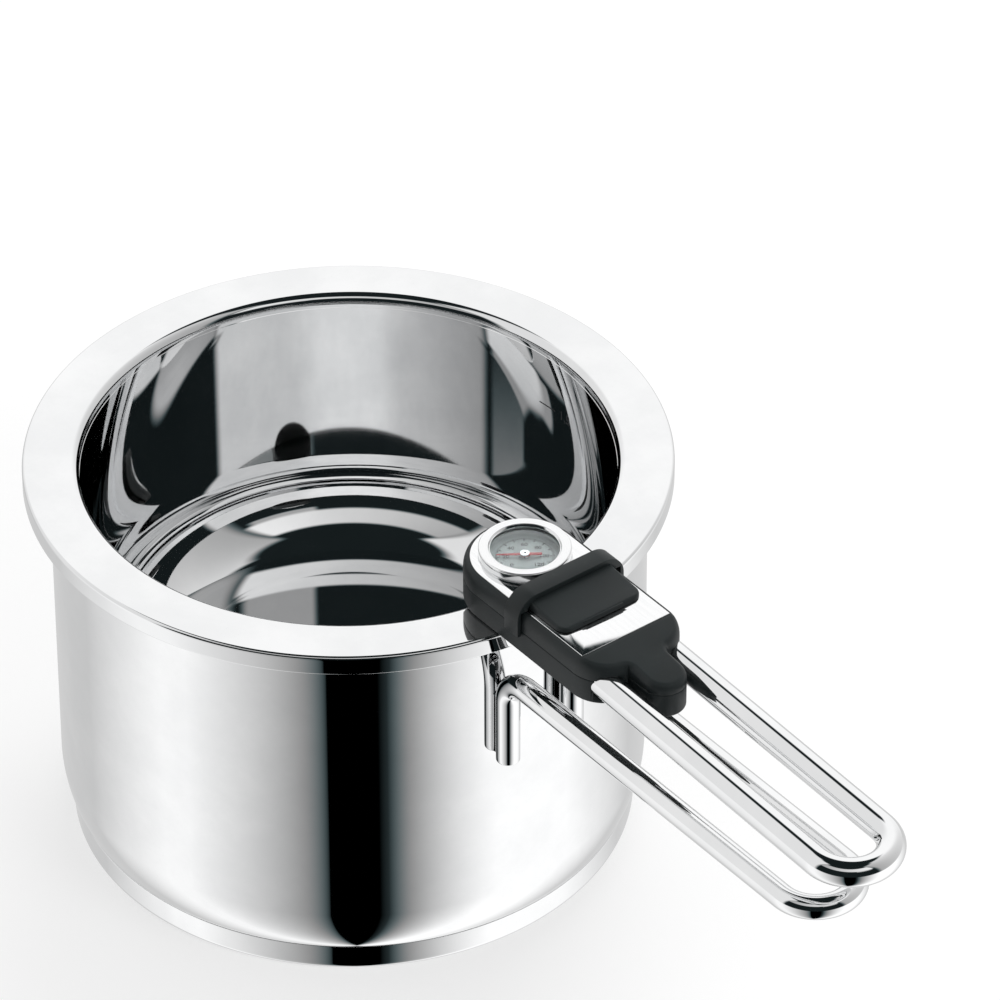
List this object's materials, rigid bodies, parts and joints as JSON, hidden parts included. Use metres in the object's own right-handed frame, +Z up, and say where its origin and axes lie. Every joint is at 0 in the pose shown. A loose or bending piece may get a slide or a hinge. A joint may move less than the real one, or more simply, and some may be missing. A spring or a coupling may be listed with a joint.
{
  "type": "double boiler",
  "caption": "Saucepan with a loop handle, a flanged melting bowl hanging in its rim, and a clip-on loop handle whose dial thermometer dips a probe into the water.",
  "frame": {"origin": "centre of the pan's flat underside, where it stands on the hob", "axes": "+Z up along the axis of pan and bowl; +X from that axis along the pan's handle and the clip-on handle above it"},
  "size_m": [0.3857, 0.2176, 0.165],
  "materials": {
    "steel": "mirror-polished stainless sheet",
    "bright_steel": "bright polished stainless rod and trim",
    "core_aluminium": "plain, hidden",
    "fastener_steel": "plain bright",
    "black_plastic": "fine matt black",
    "coil_strip": "plain bimetal strip",
    "pointer_red": "satin red paint",
    "dial_plate": "satin light grey with black scale",
    "seal_rubber": "matt",
    "window_glass": "clear"
  },
  "bodies": {
    "pot": {"pot_shell": "steel", "pot_core": "core_aluminium", "pot_base_cap": "steel", "pot_handle_loop": "bright_steel", "handle_weld_right": "steel", "handle_weld_left": "steel"},
    "bowl": {"bowl_shell": "steel", "bowl_core": "core_aluminium", "bowl_base_cap": "steel"},
    "handle": {"head_lower_shell": "black_plastic", "head_upper_shell": "black_plastic", "top_plate": "bright_steel", "shell_screws": "fastener_steel", "thermometer_case": "steel", "bezel_ring": "bright_steel", "dial_gasket": "seal_rubber", "dial_glass": "window_glass", "dial_face": "dial_plate", "probe_stem": "bright_steel", "probe_gland": "core_aluminium", "bimetal_coil": "coil_strip", "return_spring": "bright_steel", "grip_loop": "bright_steel", "grip_pins": "fastener_steel"},
    "slide": {"thumb_slide": "black_plastic", "slide_carriage": "core_aluminium", "clamp_jaw": "steel", "jaw_pad": "seal_rubber", "carriage_screws": "fastener_steel"},
    "needle": {"pointer": "pointer_red", "pointer_hub": "core_aluminium", "pointer_spindle": "fastener_steel"}
  },
  "joints": [
    {"name": "bowl_lift", "type": "slide", "parent": "pot", "child": "bowl", "axis": [0, 0, 1], "range_m": [0, 0.105]},
    {"name": "handle_lift", "type": "slide", "parent": "bowl", "child": "handle", "axis": [0, 0, 1], "range_m": [0, 0.115]},
    {"name": "thumb_pull", "type": "slide", "parent": "handle", "child": "slide", "axis": [1, 0, 0], "range_m": [0, 0.006], "stiffness_N_per_m": 400, "deforming": ["return_spring"]},
    {"name": "pointer_turn", "type": "hinge", "parent": "handle", "child": "needle", "pos_m": [0.0955, 0, 0.1581], "axis": [0, 0, 1], "range_deg": [-225, 45], "stiffness_Nm_per_rad": 0.00002}
  ]
}
